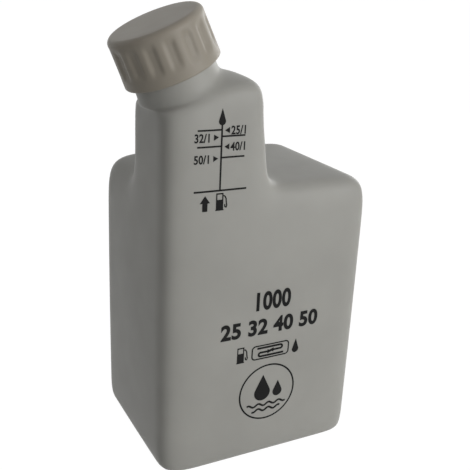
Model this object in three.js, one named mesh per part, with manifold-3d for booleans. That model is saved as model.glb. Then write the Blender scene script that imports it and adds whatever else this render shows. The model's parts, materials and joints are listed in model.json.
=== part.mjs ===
// Fuel mixing bottle: a blow-moulded can with a narrow measuring tower, a tilted threaded neck,
// a ribbed screw cap and the sealing disc inside the cap. Millimetres, +Z up, printed face towards -Y.

import * as THREE from 'three';
import { mergeVertices } from 'three/addons/utils/BufferGeometryUtils.js';
import Module from 'manifold-3d';

const wasm = await Module();
wasm.setup();

// Blown shell: the can below the shoulder.
const bodyWidth = 101;
const bodyDepth = 82.3;
const shoulderHeight = 136.5;
const backDraft = 1.5;
const faceSwell = 1.5;
const shellWall = 1.4;

// Measuring tower, flush with the can's front and left faces.
const towerTopWidth = 44.8;
const towerDepth = 43.6;
const towerFlare = 4;
const towerRightHeight = 182;
const towerLeftHeight = 170;

// How far each rounding reaches from the edge it softens.
const cornerReach = 24;
const backCornerReach = 14.4;
const rightFrontReach = 15;
const baseEdgeReach = 12;
const shoulderEdgeReach = 22;
const towerRootReach = 15;
const towerBackRootReach = 11.25;
const towerCornerReach = 12;
const towerTopReach = 15;

// Push-up in the base, which leaves a flat standing ring.
const pushUpDepth = 1.6;
const standingRing = 18;
const pushUpCorner = 12;

// Neck: its tilt, and where its axis meets the plane of the cap's lower rim.
const neckTilt = THREE.MathUtils.degToRad(24.5);
const neckX = 11;
const neckZ = 183.5;
const neckRadius = 17.6;
const neckWall = 1.4;
const neckRootDrop = 9;
const neckRootFlare = 1;
const neckRootBend = 4.95;
const neckInsideCap = 1.4;
const neckInsideLower = 2.4;
const neckTopBand = 1.6;

// Threaded finish above the neck, and the thread that it shares with the cap.
const finishRadius = 16.5;
const mouthRadius = 14.4;
const lipChamfer = 0.5;
const threadPitch = 4;
const threadHeight = 1.1;
const threadBaseWidth = 2;
const threadCrestWidth = 0.9;
const threadStart = 4;
const threadTurns = 2;
const threadPhase = THREE.MathUtils.degToRad(2.1);
const threadSink = 0.35;
const neckOverlap = 4;
const boreOverlap = 6;
const boreAbove = 3;

// Cap and the sealing disc in it.
const capHeight = 21;
const capRadius = 20.2;
const capDraft = 0.55;
const capTopWall = 1.8;
const capTopEdge = 2.6;
const capRimEdge = 0.6;
const ribCount = 16;
const ribDepth = 0.9;
const ribTopBand = 4.4;
const ribLowerBand = 4.2;
const ribFade = 1.6;
const grooveStart = 0.25;
const grooveEnd = 0.75;
const capMouthChamfer = 1;
const threadClearance = 0.45;
const capThreadBaseWidth = 1.8;
const capThreadTurns = 1.5;
const discThickness = 1.2;
const discClearance = 0.3;
const discSideClearance = 0.5;
const discBevel = 0.2;

// Facets: rounds of smoothing on the shell, and steps round the neck and cap.
const outerRounds = 1;
const innerRounds = 1;
const neckSteps = 48;
const stepsPerRib = 6;
const capEdgeSteps = 4;
const threadStepsPerTurn = 36;
const threadFadeSteps = 5;
const pushUpCornerSteps = 5;

const joinTolerance = 0.004;

const neckY = towerDepth / 2;
const capInnerRadius = finishRadius + threadHeight + threadClearance;
const discTop = capHeight - capTopWall - discClearance;
const mouthHeight = discTop - discThickness - discClearance;

const naturalPlastic = { color: 0xd6d5cf, roughness: 0.42, metalness: 0 };
const capPlastic = { color: 0xcdc6b8, roughness: 0.45, metalness: 0 };
const sealFoam = { color: 0xe9e7e0, roughness: 0.8, metalness: 0 };

const neckFrame = new THREE.Matrix4().makeRotationY(-neckTilt).setPosition(neckX, neckY, neckZ);


// Solids: a closed geometry becomes a solid for joining and cutting, and comes back as a geometry.

function solidOf(geometry) {
  const bare = geometry.clone();
  bare.deleteAttribute('normal');
  bare.deleteAttribute('uv');
  const merged = mergeVertices(bare, 1e-4);
  const mesh = new wasm.Mesh({
    numProp: 3,
    vertProperties: new Float32Array(merged.attributes.position.array),
    triVerts: new Uint32Array(merged.index.array),
  });
  return new wasm.Manifold(mesh);
}

function geometryOf(solid) {
  const mesh = solid.getMesh();
  const geometry = new THREE.BufferGeometry();
  geometry.setAttribute('position', new THREE.BufferAttribute(mesh.vertProperties, 3));
  geometry.setIndex(new THREE.BufferAttribute(mesh.triVerts, 1));
  return withoutSlivers(geometry);
}

// Points closer than the joining tolerance become one, and triangles that lose an edge by it go.
function withoutSlivers(geometry) {
  const merged = mergeVertices(geometry, joinTolerance);
  const index = merged.index.array;
  const kept = [];
  for (let start = 0; start < index.length; start += 3) {
    const [a, b, c] = [index[start], index[start + 1], index[start + 2]];
    if (a !== b && b !== c && c !== a) {
      kept.push(a, b, c);
    }
  }
  merged.setIndex(kept);
  merged.computeVertexNormals();
  return merged;
}

function geometryFromQuads(points, quads) {
  const geometry = new THREE.BufferGeometry();
  geometry.setAttribute('position', new THREE.Float32BufferAttribute(points.flatMap((p) => p.toArray()), 3));
  geometry.setIndex(quads.flatMap(([a, b, c, d]) => [a, b, c, a, c, d]));
  return geometry;
}


// Smoothing a cage of quads: each round splits every quad in four, then the limit surface is read.

function edgeTable(quads) {
  const edges = new Map();
  quads.forEach((quad, face) => {
    quad.forEach((start, corner) => {
      const end = quad[(corner + 1) % 4];
      const key = start < end ? `${start}_${end}` : `${end}_${start}`;
      if (!edges.has(key)) {
        edges.set(key, { ends: [start, end], faces: [] });
      }
      edges.get(key).faces.push(face);
    });
  });
  return edges;
}

function averageOf(list) {
  const sum = list.reduce((total, point) => total.add(point), new THREE.Vector3());
  return sum.divideScalar(list.length);
}

function smoothOnce({ points, quads }) {
  const facePoints = quads.map((quad) => averageOf(quad.map((index) => points[index])));
  const edges = edgeTable(quads);
  const around = points.map(() => ({ faces: [], middles: [] }));
  const edgePoints = new Map();
  for (const [key, { ends, faces }] of edges) {
    const [start, end] = ends.map((index) => points[index]);
    edgePoints.set(key, averageOf([start, end, ...faces.map((face) => facePoints[face])]));
    ends.forEach((index) => around[index].middles.push(averageOf([start, end])));
  }
  quads.forEach((quad, face) => quad.forEach((index) => around[index].faces.push(facePoints[face])));

  const newPoints = points.map((point, index) => {
    const { faces, middles } = around[index];
    const valence = faces.length;
    const moved = averageOf(faces).addScaledVector(averageOf(middles), 2);
    return moved.addScaledVector(point, valence - 3).divideScalar(valence);
  });
  const faceStart = newPoints.length;
  newPoints.push(...facePoints);
  const edgeIndex = new Map();
  for (const [key, point] of edgePoints) {
    edgeIndex.set(key, newPoints.length);
    newPoints.push(point);
  }
  const middleOf = (a, b) => edgeIndex.get(a < b ? `${a}_${b}` : `${b}_${a}`);
  const newQuads = quads.flatMap((quad, face) => quad.map((index, corner) => {
    const next = quad[(corner + 1) % 4];
    const last = quad[(corner + 3) % 4];
    return [index, middleOf(index, next), faceStart + face, middleOf(last, index)];
  }));
  return { points: newPoints, quads: newQuads };
}

function limitPoints({ points, quads }) {
  const near = points.map(() => ({ count: 0, beside: new THREE.Vector3(), across: new THREE.Vector3() }));
  quads.forEach((quad) => quad.forEach((index, corner) => {
    const entry = near[index];
    entry.count += 1;
    entry.beside.addScaledVector(points[quad[(corner + 1) % 4]], 0.5);
    entry.beside.addScaledVector(points[quad[(corner + 3) % 4]], 0.5);
    entry.across.add(points[quad[(corner + 2) % 4]]);
  }));
  return points.map((point, index) => {
    const { count, beside, across } = near[index];
    const sum = point.clone().multiplyScalar(count * count).addScaledVector(beside, 4).add(across);
    return sum.divideScalar(count * (count + 5));
  });
}

function smoothSkin(cage, rounds) {
  let mesh = cage;
  for (let round = 0; round < rounds; round += 1) {
    mesh = smoothOnce(mesh);
  }
  return geometryFromQuads(limitPoints(mesh), mesh.quads);
}


// Blown shell: blocks on a grid whose lines sit at the faces and where each rounding ends. A skin
// that lies `inset` inside the outer one has its faces moved in, with the same ends of roundings.

function gridLines(inset) {
  const towerRight = towerTopWidth - inset;
  return {
    x: [inset, cornerReach, towerTopWidth - towerCornerReach, towerRight,
      towerTopWidth + towerRootReach, bodyWidth - rightFrontReach, bodyWidth - inset],
    y: [inset, towerCornerReach, towerDepth - towerCornerReach, towerDepth - inset,
      towerDepth + towerBackRootReach, bodyDepth - backCornerReach, bodyDepth - inset],
    z: [inset > 0 ? pushUpDepth + inset : 0, baseEdgeReach, shoulderHeight / 2,
      shoulderHeight - shoulderEdgeReach, shoulderHeight - inset, shoulderHeight + towerRootReach],
  };
}

const lastLine = 6;
const towerCell = 3;
const shoulderLine = 4;
const shoulderRootLine = 5;
const towerUpperLine = 6;
const towerTopLine = 7;

function gridPoint(lines, i, j, k, inset) {
  const x = lines.x[i];
  const y = lines.y[j];
  const towerShare = THREE.MathUtils.clamp(x / towerTopWidth, 0, 1);
  const top = THREE.MathUtils.lerp(towerLeftHeight, towerRightHeight, towerShare) - inset;
  if (k === towerTopLine) {
    return new THREE.Vector3(x, y, top);
  }
  if (k === towerUpperLine) {
    return new THREE.Vector3(x, y, top - towerTopReach);
  }
  const z = lines.z[k];
  const point = new THREE.Vector3(x, y, z);
  if (j === lines.y.length - 1) {
    point.y -= backDraft * (1 - z / shoulderHeight);
  }
  if (i === towerCell) {
    const downTower = (towerRightHeight - z) / (towerRightHeight - shoulderHeight);
    point.x += towerFlare * THREE.MathUtils.clamp(downTower, 0, 1);
  }
  return point.add(faceSwellAt(i, j, point));
}

function faceSwellAt(i, j, point) {
  const bow = (value, size) => 1 - (2 * value / size - 1) ** 2;
  const height = Math.max(0, bow(point.z, shoulderHeight));
  const move = new THREE.Vector3();
  if (j === 0 || j === lastLine) {
    move.y = (j === 0 ? -1 : 1) * faceSwell * bow(point.x, bodyWidth) * height;
  }
  if (i === 0 || i === lastLine) {
    move.x = (i === 0 ? -1 : 1) * faceSwell * bow(point.y, bodyDepth) * height;
  }
  return move;
}

function neckRings(inset) {
  const radius = (neckRadius - (inset > 0 ? neckWall : 0)) / splineCircle;
  const top = neckInsideCap - (inset > 0 ? neckInsideLower : 0);
  return [
    { height: -neckRootDrop - inset, radius: radius + neckRootFlare },
    { height: -neckRootBend - inset, radius },
    { height: top - neckTopBand, radius },
    { height: top, radius },
  ];
}

// A smooth ring of twelve points runs this share of their radius from its centre.
const splineCircle = (4 + 2 * Math.cos(Math.PI / 6)) / 6;

function bottleCage(inset) {
  const lines = gridLines(inset);
  const rings = neckRings(inset);
  const points = [];
  const quads = [];
  const known = new Map();
  const cellsAcross = lines.x.length - 1;
  const cellsUp = towerTopLine;
  const filled = (i, j, k) => {
    if (i < 0 || j < 0 || k < 0 || i >= cellsAcross || j >= cellsAcross || k >= cellsUp) {
      return false;
    }
    return k < shoulderLine || (i < towerCell && j < towerCell);
  };
  const gridIndex = (i, j, k) => {
    const key = `${i}_${j}_${k}`;
    if (!known.has(key)) {
      known.set(key, points.length);
      points.push(gridPoint(lines, i, j, k, inset));
    }
    return known.get(key);
  };
  const neckIndex = (i, j, ring) => {
    if (ring < 0) {
      return gridIndex(i, j, towerTopLine);
    }
    const key = `neck_${i}_${j}_${ring}`;
    if (!known.has(key)) {
      known.set(key, points.length);
      points.push(neckPoint(i, j, rings[ring]));
    }
    return known.get(key);
  };

  for (let i = 0; i < cellsAcross; i += 1) {
    for (let j = 0; j < cellsAcross; j += 1) {
      for (let k = 0; k < cellsUp; k += 1) {
        if (filled(i, j, k)) {
          quads.push(...openSides(i, j, k, filled).map((side) => side.map((at) => gridIndex(...at))));
        }
      }
    }
  }
  const loop = towerTopLoop();
  rings.forEach((unused, ring) => {
    loop.forEach(([i, j], step) => {
      const [nextI, nextJ] = loop[(step + 1) % loop.length];
      quads.push([neckIndex(i, j, ring - 1), neckIndex(nextI, nextJ, ring - 1),
        neckIndex(nextI, nextJ, ring), neckIndex(i, j, ring)]);
    });
  });
  for (let i = 0; i < towerCell; i += 1) {
    for (let j = 0; j < towerCell; j += 1) {
      const corners = [[i, j], [i + 1, j], [i + 1, j + 1], [i, j + 1]];
      quads.push(corners.map(([a, b]) => neckIndex(a, b, rings.length - 1)));
    }
  }
  return { points, quads };
}

// The sides of a filled cell that no other filled cell covers, as grid points in outward order. The
// tower's top is left out, because the neck grows from it.
function openSides(i, j, k, filled) {
  const sides = [];
  const add = (open, corners) => {
    if (open) {
      sides.push(corners.map(([di, dj, dk]) => [i + di, j + dj, k + dk]));
    }
  };
  add(!filled(i - 1, j, k), [[0, 0, 0], [0, 0, 1], [0, 1, 1], [0, 1, 0]]);
  add(!filled(i + 1, j, k), [[1, 0, 0], [1, 1, 0], [1, 1, 1], [1, 0, 1]]);
  add(!filled(i, j - 1, k), [[0, 0, 0], [1, 0, 0], [1, 0, 1], [0, 0, 1]]);
  add(!filled(i, j + 1, k), [[0, 1, 0], [0, 1, 1], [1, 1, 1], [1, 1, 0]]);
  add(!filled(i, j, k - 1), [[0, 0, 0], [0, 1, 0], [1, 1, 0], [1, 0, 0]]);
  add(!filled(i, j, k + 1) && k + 1 !== towerTopLine, [[0, 0, 1], [1, 0, 1], [1, 1, 1], [0, 1, 1]]);
  return sides;
}

// The twelve grid points round the tower's top, anticlockwise from above.
function towerTopLoop() {
  const loop = [];
  for (let step = 0; step < towerCell; step += 1) {
    loop.push([step, 0]);
  }
  for (let step = 0; step < towerCell; step += 1) {
    loop.push([towerCell, step]);
  }
  for (let step = 0; step < towerCell; step += 1) {
    loop.push([towerCell - step, towerCell]);
  }
  for (let step = 0; step < towerCell; step += 1) {
    loop.push([0, towerCell - step]);
  }
  return loop;
}

// The four inner points of the neck's top lie at this share of its radius.
const innerRingShare = 0.45;

// A loop point (i, j) lies on a circle round the neck's axis, and the four inner ones on a smaller one.
function neckPoint(i, j, { height, radius }) {
  const step = towerTopLoop().findIndex(([a, b]) => a === i && b === j);
  const cornerAngle = 1.25 * Math.PI;
  const angle = step >= 0
    ? cornerAngle + step * Math.PI / 6
    : Math.atan2(j - towerCell / 2, i - towerCell / 2);
  const reach = step >= 0 ? radius : radius * innerRingShare;
  const point = new THREE.Vector3(reach * Math.cos(angle), reach * Math.sin(angle), height);
  return point.applyMatrix4(neckFrame);
}


// Push-up of the base, which leaves the standing ring round it.

function pushUp() {
  const left = standingRing;
  const shape = new THREE.Shape();
  const right = bodyWidth - left;
  const back = bodyDepth - left;
  const corner = pushUpCorner;
  shape.moveTo(left + corner, left);
  shape.lineTo(right - corner, left);
  shape.quadraticCurveTo(right, left, right, left + corner);
  shape.lineTo(right, back - corner);
  shape.quadraticCurveTo(right, back, right - corner, back);
  shape.lineTo(left + corner, back);
  shape.quadraticCurveTo(left, back, left, back - corner);
  shape.lineTo(left, left + corner);
  shape.quadraticCurveTo(left, left, left + corner, left);
  const depth = pushUpDepth;
  const below = 2;
  const geometry = new THREE.ExtrudeGeometry(shape, {
    depth: below, bevelThickness: depth, bevelSize: depth, bevelOffset: -depth, bevelSegments: 1,
    curveSegments: pushUpCornerSteps,
  });
  return solidOf(geometry.translate(0, 0, -below));
}


// Threads: a ridge swept along a helix, sunk at both ends.

function threadRidge({ rootRadius, height, baseWidth, crestWidth, start, turns, phase, inward }) {
  const steps = Math.round(turns * threadStepsPerTurn);
  const out = inward ? -1 : 1;
  const points = [];
  const quads = [];
  for (let step = 0; step <= steps; step += 1) {
    const share = Math.min(1, (Math.min(step, steps - step) + 0.1) / threadFadeSteps);
    const angle = phase + step * 2 * Math.PI / threadStepsPerTurn;
    const middle = start + threadPitch * step / threadStepsPerTurn;
    const foot = rootRadius - out * threadSink;
    const crest = rootRadius + out * (height * share - threadSink * (1 - share) / 2);
    const section = [
      [foot, -baseWidth / 2], [crest, -crestWidth / 2], [crest, crestWidth / 2], [foot, baseWidth / 2],
    ];
    section.forEach(([radius, along]) => {
      points.push(new THREE.Vector3(radius * Math.cos(angle), radius * Math.sin(angle), middle + along));
    });
  }
  for (let step = 0; step < steps; step += 1) {
    for (let side = 0; side < 4; side += 1) {
      const next = (side + 1) % 4;
      const here = step * 4;
      quads.push([here + side, here + next, here + 4 + next, here + 4 + side]);
    }
  }
  const end = steps * 4;
  quads.push([3, 2, 1, 0]);
  quads.push([end, end + 1, end + 2, end + 3]);
  const turned = inward ? quads : quads.map((quad) => [...quad].reverse());
  return geometryFromQuads(points, turned);
}

function latheOf(profile, segments) {
  const points = profile.map(([radius, height]) => new THREE.Vector2(radius, height));
  return new THREE.LatheGeometry(points, segments).rotateX(Math.PI / 2);
}

function neckFinish() {
  const bottom = -neckOverlap;
  const tube = latheOf([
    [0, bottom], [finishRadius, bottom], [finishRadius, mouthHeight - lipChamfer],
    [finishRadius - lipChamfer, mouthHeight], [0, mouthHeight],
  ], neckSteps);
  const thread = threadRidge({
    rootRadius: finishRadius, height: threadHeight, baseWidth: threadBaseWidth,
    crestWidth: threadCrestWidth, start: threadStart, turns: threadTurns, phase: threadPhase, inward: false,
  });
  return inNeckFrame(tube).add(inNeckFrame(thread));
}

function mouthBore() {
  const bottom = -boreOverlap;
  const top = mouthHeight + boreAbove;
  return inNeckFrame(latheOf([[0, bottom], [mouthRadius, bottom], [mouthRadius, top], [0, top]], neckSteps));
}

function inNeckFrame(geometry) {
  return solidOf(geometry.applyMatrix4(neckFrame));
}

function bottleShell() {
  const outer = solidOf(smoothSkin(bottleCage(0), outerRounds));
  const cavity = solidOf(smoothSkin(bottleCage(shellWall), innerRounds));
  const blown = outer.add(neckFinish()).subtract(pushUp());
  return blown.subtract(cavity.add(mouthBore()));
}


// Cap: a turned cup whose side is pressed into broad ribs between two smooth bands.

function ribCut(angle, height) {
  const rise = (from, to, value) => THREE.MathUtils.smoothstep(value, from, to);
  const band = rise(ribLowerBand, ribLowerBand + ribFade, height)
    * (1 - rise(capHeight - ribTopBand - ribFade, capHeight - ribTopBand, height));
  const wave = 0.5 - 0.5 * Math.cos(ribCount * angle);
  return ribDepth * band * rise(grooveStart, grooveEnd, wave);
}

function capShell() {
  const side = (height) => capRadius + capDraft * (1 - height / capHeight);
  const edge = (count) => {
    const list = [];
    for (let step = 0; step <= count; step += 1) {
      const turn = step / count * Math.PI / 2;
      const height = capHeight - capTopEdge * (1 - Math.cos(turn));
      list.push([side(capHeight - capTopEdge) - capTopEdge * (1 - Math.sin(turn)), height]);
    }
    return list;
  };
  const innerTop = capHeight - capTopWall;
  const outside = [
    capHeight - ribTopBand, capHeight - ribTopBand - ribFade, capHeight / 2,
    ribLowerBand + ribFade, ribLowerBand, capRimEdge,
  ].map((height) => [side(height), height]);
  const profile = [
    [0, innerTop], [capInnerRadius, innerTop], [capInnerRadius, capMouthChamfer],
    [capInnerRadius + capRimEdge, 0],
    [side(0) - capRimEdge, 0], ...outside.reverse(), ...edge(capEdgeSteps).reverse(), [0, capHeight],
  ];
  const cup = latheOf(profile, ribCount * stepsPerRib);
  pressRibs(cup, side);
  const thread = threadRidge({
    rootRadius: capInnerRadius, height: threadHeight - threadClearance / 2,
    baseWidth: capThreadBaseWidth, crestWidth: threadCrestWidth, start: threadStart,
    turns: capThreadTurns, phase: Math.PI + threadPhase, inward: true,
  });
  return solidOf(cup).add(solidOf(thread));
}

function pressRibs(cup, side) {
  const position = cup.attributes.position;
  const point = new THREE.Vector3();
  for (let index = 0; index < position.count; index += 1) {
    point.fromBufferAttribute(position, index);
    const radius = Math.hypot(point.x, point.y);
    if (radius > side(point.z) - 0.01) {
      const share = (radius - ribCut(Math.atan2(point.y, point.x), point.z)) / radius;
      position.setXY(index, point.x * share, point.y * share);
    }
  }
}

function sealDisc() {
  const radius = capInnerRadius - discSideClearance;
  const bottom = discTop - discThickness;
  return latheOf([
    [0, bottom], [radius - discBevel, bottom], [radius, bottom + discBevel],
    [radius, discTop - discBevel], [radius - discBevel, discTop], [0, discTop],
  ], neckSteps);
}


// Assembly: the cap and its disc sit in the neck's tilted frame.

function named(name, geometry, look) {
  const mesh = new THREE.Mesh(geometry, new THREE.MeshStandardMaterial(look));
  mesh.name = name;
  return mesh;
}

const onNeck = new THREE.Group();
onNeck.applyMatrix4(neckFrame);
onNeck.add(named('cap', geometryOf(capShell()), capPlastic));
onNeck.add(named('cap_liner', geometryOf(solidOf(sealDisc())), sealFoam));

const bottle = new THREE.Group();
bottle.add(named('bottle', geometryOf(bottleShell()), naturalPlastic));
bottle.add(onNeck);

// The origin is under the middle of the whole object, on the plane it stands on.
const span = new THREE.Box3().setFromObject(bottle, true);
const middle = span.getCenter(new THREE.Vector3());
bottle.position.set(-middle.x, -middle.y, -span.min.z);
const model = new THREE.Group();
model.add(bottle);

export default model;
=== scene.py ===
# %% [markdown]
# A plastic bottle for mixing fuel and oil. The real one is blown from a tube of soft natural
# polyethylene: a square can, a narrow measuring tower that is flush with two of its faces, and a
# tilted neck with a ribbed screw cap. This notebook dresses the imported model, piece by piece.

# %% Load the frame
import json
from math import atan2, cos, hypot, pi, radians, sin

import bmesh
import bpy
from mathutils import Matrix, Vector
from mathutils.bvhtree import BVHTree


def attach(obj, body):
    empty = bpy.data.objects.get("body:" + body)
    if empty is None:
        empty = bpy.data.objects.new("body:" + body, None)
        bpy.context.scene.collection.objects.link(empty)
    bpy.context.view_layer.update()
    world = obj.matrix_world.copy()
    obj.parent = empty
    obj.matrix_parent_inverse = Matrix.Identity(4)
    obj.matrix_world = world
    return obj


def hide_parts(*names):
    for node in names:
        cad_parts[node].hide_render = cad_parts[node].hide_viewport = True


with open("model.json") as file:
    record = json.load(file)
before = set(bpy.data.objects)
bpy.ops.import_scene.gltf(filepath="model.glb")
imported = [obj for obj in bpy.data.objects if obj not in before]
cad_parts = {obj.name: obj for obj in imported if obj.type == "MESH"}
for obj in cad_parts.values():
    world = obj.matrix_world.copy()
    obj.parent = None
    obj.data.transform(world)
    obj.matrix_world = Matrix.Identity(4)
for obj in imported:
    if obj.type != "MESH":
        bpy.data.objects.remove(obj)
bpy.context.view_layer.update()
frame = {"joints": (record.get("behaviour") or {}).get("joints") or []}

# %% [markdown]
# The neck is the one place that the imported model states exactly, as the axis of its screw joint.
# Every other size is counted from the front left corner of the can, in millimetres, as on a
# drawing. One matrix takes that drawing to the frame, and another takes the neck's own upright
# drawing to its tilted place.

# %% Drawings: the can's corner and the neck's tilted frame
MM = 0.001
NECK_ON_DRAWING = Vector((11.0, 21.8, 183.5))

screw = next(joint for joint in frame["joints"] if joint["type"] == "hinge")
neck_axis = Vector(screw["axis"]).normalized()
neck_foot = Vector(screw["pos_m"])
can_corner = neck_foot - NECK_ON_DRAWING * MM
can_to_frame = Matrix.Translation(can_corner) @ Matrix.Scale(MM, 4)
tilt = atan2(-neck_axis.x, neck_axis.z)
neck_turn = Matrix.Rotation(-tilt, 4, "Y")
neck_to_frame = Matrix.Translation(neck_foot) @ neck_turn @ Matrix.Scale(MM, 4)
print("the can's front left corner stands at", [round(v, 4) for v in can_corner])

# %% [markdown]
# The camera comes first, because it shows at once whether the proportions hold. The photograph
# looks at the printed face from its left and from a little above, with a fairly short lens, so
# uprights lean together towards the foot.

# %% Camera
VIEW_AZIMUTH = radians(27.9)
VIEW_ELEVATION = radians(19.8)
VIEW_ROLL = radians(2.7)
VIEW_DISTANCE = 317.7
VIEW_AIM = Vector((31.6, 0.0, 117.0))
FOCAL_PIXELS = 750.0
PHOTO_PIXELS = 470
SENSOR = 36.0

toward_camera = Vector((
    -sin(VIEW_AZIMUTH) * cos(VIEW_ELEVATION),
    -cos(VIEW_AZIMUTH) * cos(VIEW_ELEVATION),
    sin(VIEW_ELEVATION),
))
level_right = Vector((cos(VIEW_AZIMUTH), -sin(VIEW_AZIMUTH), 0))
level_up = toward_camera.cross(level_right)
camera_right = level_right * cos(VIEW_ROLL) + level_up * sin(VIEW_ROLL)
camera_up = level_up * cos(VIEW_ROLL) - level_right * sin(VIEW_ROLL)
camera_data = bpy.data.cameras.new("photo_camera")
camera_data.sensor_width = SENSOR
camera_data.lens = FOCAL_PIXELS / PHOTO_PIXELS * SENSOR
camera = bpy.data.objects.new("photo_camera", camera_data)
turn = Matrix((camera_right, camera_up, toward_camera)).transposed().to_4x4()
place = can_to_frame @ (VIEW_AIM + toward_camera * VIEW_DISTANCE)
camera.matrix_world = Matrix.Translation(place) @ turn
bpy.context.scene.collection.objects.link(camera)
bpy.context.scene.camera = camera
print("camera with a", round(camera_data.lens, 1), "mm lens at", [round(v, 3) for v in place])

# %% [markdown]
# The photograph has a white ground, while the bottle itself is lit softly and stays grey. More light
# would whiten the ground, but it would bleach the plastic as well. So a Light Path node shows plain
# white to the camera and to reflections, and a dim grey to the light that falls on the bottle.

# %% White surround
WORLD_LEVEL = 0.41


def white_for_camera(tree, plain_shader, white_shader, out_socket, share):
    """Mix in a white glow for rays that look at the background, and none for rays that light things."""
    path = tree.nodes.new("ShaderNodeLightPath")
    seen = tree.nodes.new("ShaderNodeMath")
    seen.operation = "MAXIMUM"
    tree.links.new(path.outputs["Is Camera Ray"], seen.inputs[0])
    tree.links.new(path.outputs["Is Glossy Ray"], seen.inputs[1])
    amount = tree.nodes.new("ShaderNodeMath")
    amount.operation = "MULTIPLY"
    tree.links.new(seen.outputs[0], amount.inputs[0])
    amount.inputs[1].default_value = share
    mix = tree.nodes.new("ShaderNodeMixShader")
    tree.links.new(amount.outputs[0], mix.inputs[0])
    tree.links.new(plain_shader.outputs[0], mix.inputs[1])
    tree.links.new(white_shader.outputs[0], mix.inputs[2])
    tree.links.new(mix.outputs[0], out_socket)


def make_world(level):
    world = bpy.data.worlds.new("white_surround")
    bpy.context.scene.world = world
    world.use_nodes = True
    tree = world.node_tree
    tree.nodes.clear()
    ambient = tree.nodes.new("ShaderNodeBackground")
    ambient.inputs["Strength"].default_value = level
    white = tree.nodes.new("ShaderNodeBackground")
    white.inputs["Color"].default_value = (1, 1, 1, 1)
    white.inputs["Strength"].default_value = 1.0
    out = tree.nodes.new("ShaderNodeOutputWorld")
    white_for_camera(tree, ambient, white, out.inputs["Surface"], 1.0)


bpy.context.scene.view_settings.view_transform = "Standard"
make_world(WORLD_LEVEL)
print("surround: white to the camera, level", WORLD_LEVEL, "for the bottle")

# %% [markdown]
# The bottle stands on a pale floor with no edge in sight. A curved backdrop would do as well, but a
# flat floor of great size needs no shape at all. It is a diffuse grey that takes the bottle's
# shadow, and most of what the camera sees of it is the same white glow as the surround.

# %% Floor
FLOOR_HALF_SIZE = 40.0
FLOOR_GREY = 0.62
FLOOR_GLOW = 1.1
FLOOR_GLOW_SHARE = 0.9


def make_floor(half_size, glow_share):
    mesh = bpy.data.meshes.new("floor")
    corners = [(-half_size, -half_size, 0), (half_size, -half_size, 0),
               (half_size, half_size, 0), (-half_size, half_size, 0)]
    mesh.from_pydata(corners, [], [(0, 1, 2, 3)])
    floor = bpy.data.objects.new("floor", mesh)
    bpy.context.scene.collection.objects.link(floor)
    material = bpy.data.materials.new("pale_floor")
    material.use_nodes = True
    tree = material.node_tree
    tree.nodes.clear()
    plain = tree.nodes.new("ShaderNodeBsdfDiffuse")
    plain.inputs["Color"].default_value = (FLOOR_GREY, FLOOR_GREY, FLOOR_GREY, 1)
    glow = tree.nodes.new("ShaderNodeEmission")
    glow.inputs["Strength"].default_value = FLOOR_GLOW
    out = tree.nodes.new("ShaderNodeOutputMaterial")
    white_for_camera(tree, plain, glow, out.inputs["Surface"], glow_share)
    mesh.materials.append(material)


make_floor(FLOOR_HALF_SIZE, FLOOR_GLOW_SHARE)
print("floor:", 2 * FLOOR_HALF_SIZE, "metres wide")

# %% [markdown]
# Two square lamps shape the bottle, as soft boxes do in a studio. A small lamp would draw hard
# shadows and a glare on the cap, so both are broad: one ahead and a little to the right, and a
# weaker one behind the right shoulder, which draws the bright edges of the plastic.

# %% Lamps
LAMP_AIM = Vector((0, 0, 0.1))


def add_lamp(name, azimuth, elevation, distance, size, power):
    """A square soft lamp that looks at the middle of the bottle, placed by angles round it."""
    direction = Vector((sin(azimuth) * cos(elevation), -cos(azimuth) * cos(elevation), sin(elevation)))
    data = bpy.data.lights.new(name, "AREA")
    data.shape = "SQUARE"
    data.size = size
    data.energy = power
    lamp = bpy.data.objects.new(name, data)
    turn = direction.to_track_quat("Z", "Y").to_matrix().to_4x4()
    lamp.matrix_world = Matrix.Translation(LAMP_AIM + direction * distance) @ turn
    bpy.context.scene.collection.objects.link(lamp)
    print(name + ":", power, "watts at", distance, "metres")


add_lamp("soft_key", radians(30), radians(14), distance=1.2, size=0.9, power=11.0)
add_lamp("edge_light", radians(118), radians(8), distance=1.0, size=0.5, power=2.0)

# %% [markdown]
# Every piece below is a mesh at the origin, with its place in its mesh, because it then rides on its
# body without a jump and keeps the noise of its material in place. These few helpers make such a
# mesh, turn modifiers into plain mesh, and point the faces outwards.

# %% Mesh helpers
def plain_object(name, points, faces, placing):
    """A mesh object at the origin, with its place in its mesh."""
    mesh = bpy.data.meshes.new(name)
    mesh.from_pydata([placing @ Vector(p) for p in points], [], faces)
    mesh.update()
    made = bpy.data.objects.new(name, mesh)
    bpy.context.scene.collection.objects.link(made)
    return made


def settle(made):
    """Turn an object's modifiers into plain mesh."""
    depsgraph = bpy.context.evaluated_depsgraph_get()
    mesh = bpy.data.meshes.new_from_object(made.evaluated_get(depsgraph))
    made.modifiers.clear()
    made.data = mesh
    return made


def triangles(made):
    return sum(len(face.vertices) - 2 for face in made.data.polygons)


def face_outwards(made):
    """Recalculate the normals of a closed piece, so that every face points out."""
    work = bmesh.new()
    work.from_mesh(made.data)
    bmesh.ops.recalc_face_normals(work, faces=work.faces)
    work.to_mesh(made.data)
    work.free()
    return made


def move_mesh(made, placing):
    made.data.transform(placing)
    made.data.update()


def shade_smooth(made):
    for face in made.data.polygons:
        face.use_smooth = True


print("mesh helpers: make, settle, count, face outwards, move and shade")

# %% [markdown]
# The blown shell is one skin that bends through every corner, so it is made as a modeller would
# make it: a coarse cage of blocks, smoothed by subdivision. The cage's lines sit on the flat faces
# and where each rounding ends, so the same few sizes give the round edges of the can and the
# hollow curve at the root of the tower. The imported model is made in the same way, with fewer facets.

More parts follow.
